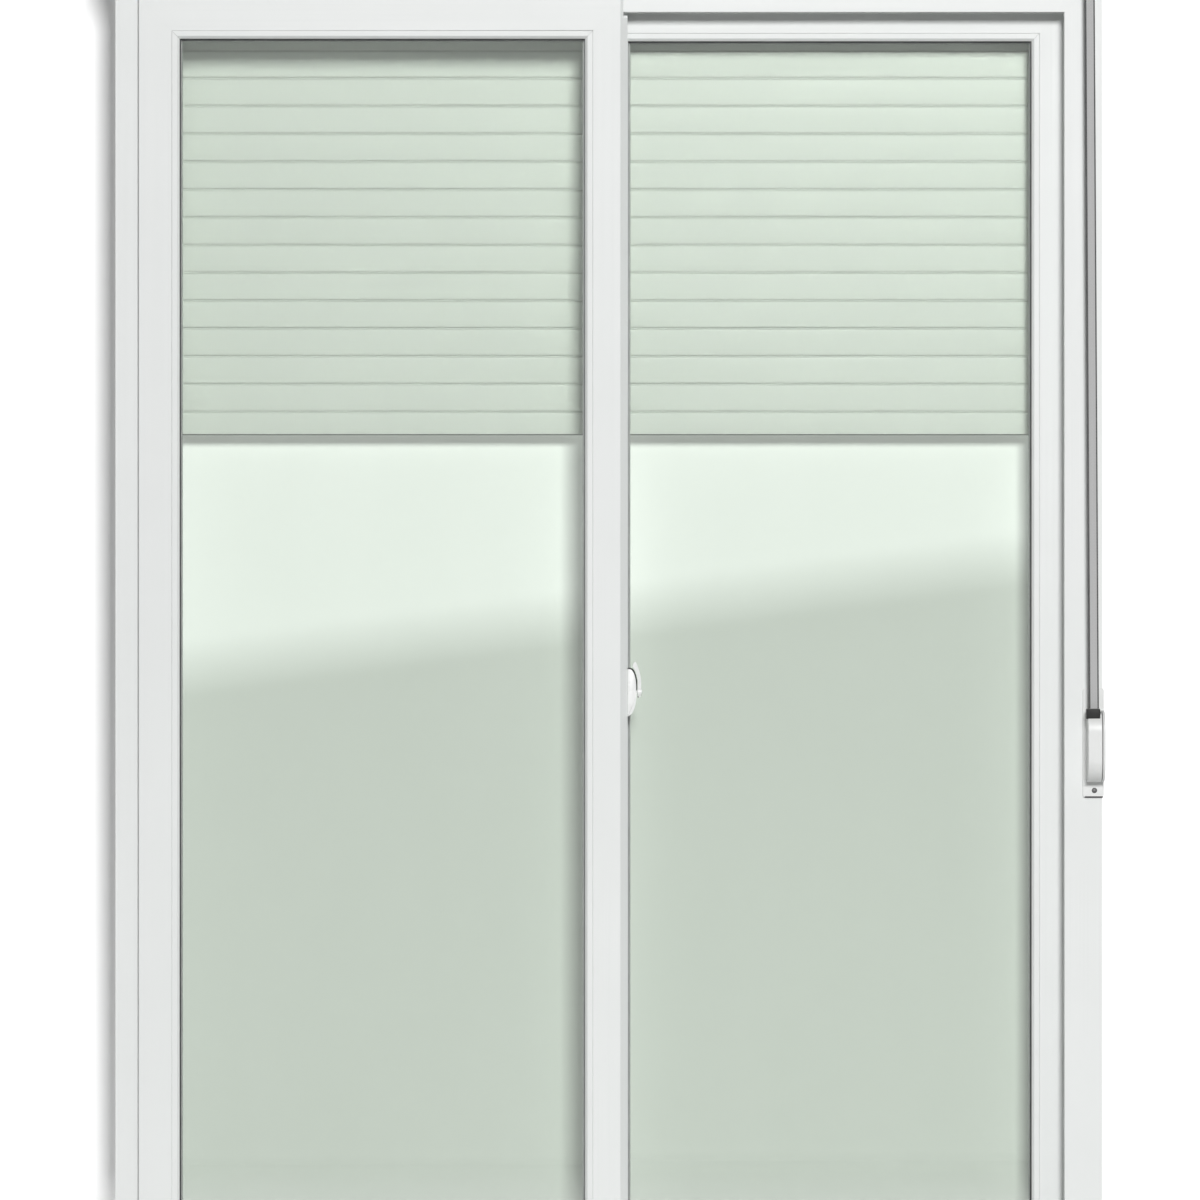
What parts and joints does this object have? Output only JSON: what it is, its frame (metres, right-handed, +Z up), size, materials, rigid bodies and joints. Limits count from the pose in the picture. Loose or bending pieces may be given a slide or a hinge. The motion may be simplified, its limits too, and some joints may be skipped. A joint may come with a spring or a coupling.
{
  "type": "pvc sliding door with roller shutter",
  "caption": "White PVC sliding patio door with double glazing, and an outside roller shutter worked by a pull strap and wall winder.",
  "frame": {"origin": "centre of the sill's underside, halfway through the frame's depth", "axes": "+X right as seen from the room, +Y outwards, +Z up"},
  "size_m": [1.6024, 0.1907, 2.3335],
  "materials": {
    "white_pvc": "smooth white PVC, satin",
    "bead_pvc": "smooth white PVC, satin",
    "slat_pvc": "white PVC slats, satin",
    "white_plastic": "moulded white plastic, semi-gloss",
    "interlock_cover": "white coated aluminium",
    "aluminium_rail": "mill finish",
    "spacer_bar": "satin",
    "galvanised_steel": "galvanised",
    "roller_steel": "zinc plated",
    "lock_metal": "white coated die casting",
    "gasket_rubber": "matt black",
    "black_plastic": "matt black",
    "woven_strap": "woven grey strap with dark stitched edges",
    "glass": "clear float glass, faint green"
  },
  "bodies": {
    "frame": {"frame_head": "white_pvc", "frame_sill": "white_pvc", "frame_left_jamb": "white_pvc", "frame_right_jamb": "white_pvc", "track_rails": "aluminium_rail", "left_shutter_guide": "white_pvc", "right_shutter_guide": "white_pvc", "shutter_slats": "slat_pvc", "shutter_end_slat": "slat_pvc", "wound_curtain": "slat_pvc", "roller_tube": "galvanised_steel", "strap_pulley": "black_plastic", "shutter_box_front": "white_pvc", "shutter_box_back": "white_pvc", "shutter_box_top": "white_pvc", "shutter_box_floor": "white_pvc", "shutter_box_left_cap": "white_pvc", "shutter_box_right_cap": "white_pvc", "pull_strap": "woven_strap", "strap_guide": "white_plastic", "winder_plate": "white_plastic", "winder_case": "white_plastic", "winder_mouth": "black_plastic"},
    "inner_leaf": {"inner_leaf_top_rail": "white_pvc", "inner_leaf_bottom_rail": "white_pvc", "inner_leaf_left_stile": "white_pvc", "inner_leaf_right_stile": "white_pvc", "inner_leaf_beads": "bead_pvc", "inner_leaf_gaskets": "gasket_rubber", "inner_leaf_glass": "glass", "inner_leaf_spacer": "spacer_bar", "inner_leaf_interlock": "interlock_cover", "inner_leaf_rollers": "roller_steel", "lock_base": "lock_metal"},
    "outer_leaf": {"outer_leaf_top_rail": "white_pvc", "outer_leaf_bottom_rail": "white_pvc", "outer_leaf_left_stile": "white_pvc", "outer_leaf_right_stile": "white_pvc", "outer_leaf_beads": "bead_pvc", "outer_leaf_gaskets": "gasket_rubber", "outer_leaf_glass": "glass", "outer_leaf_spacer": "spacer_bar", "outer_leaf_interlock": "interlock_cover", "outer_leaf_rollers": "roller_steel"},
    "lock_lever": {"lock_lever": "lock_metal"}
  },
  "joints": [
    {"name": "inner_leaf_slide", "type": "slide", "parent": "frame", "child": "inner_leaf", "axis": [1, 0, 0], "range_m": [0, 0.673]},
    {"name": "outer_leaf_slide", "type": "slide", "parent": "frame", "child": "outer_leaf", "axis": [-1, 0, 0], "range_m": [0, 0.69]},
    {"name": "lock_lever_turn", "type": "hinge", "parent": "inner_leaf", "child": "lock_lever", "pos_m": [0.046, -0.04, 0.9865], "axis": [1, 0, 0], "range_deg": [0, 180]}
  ]
}
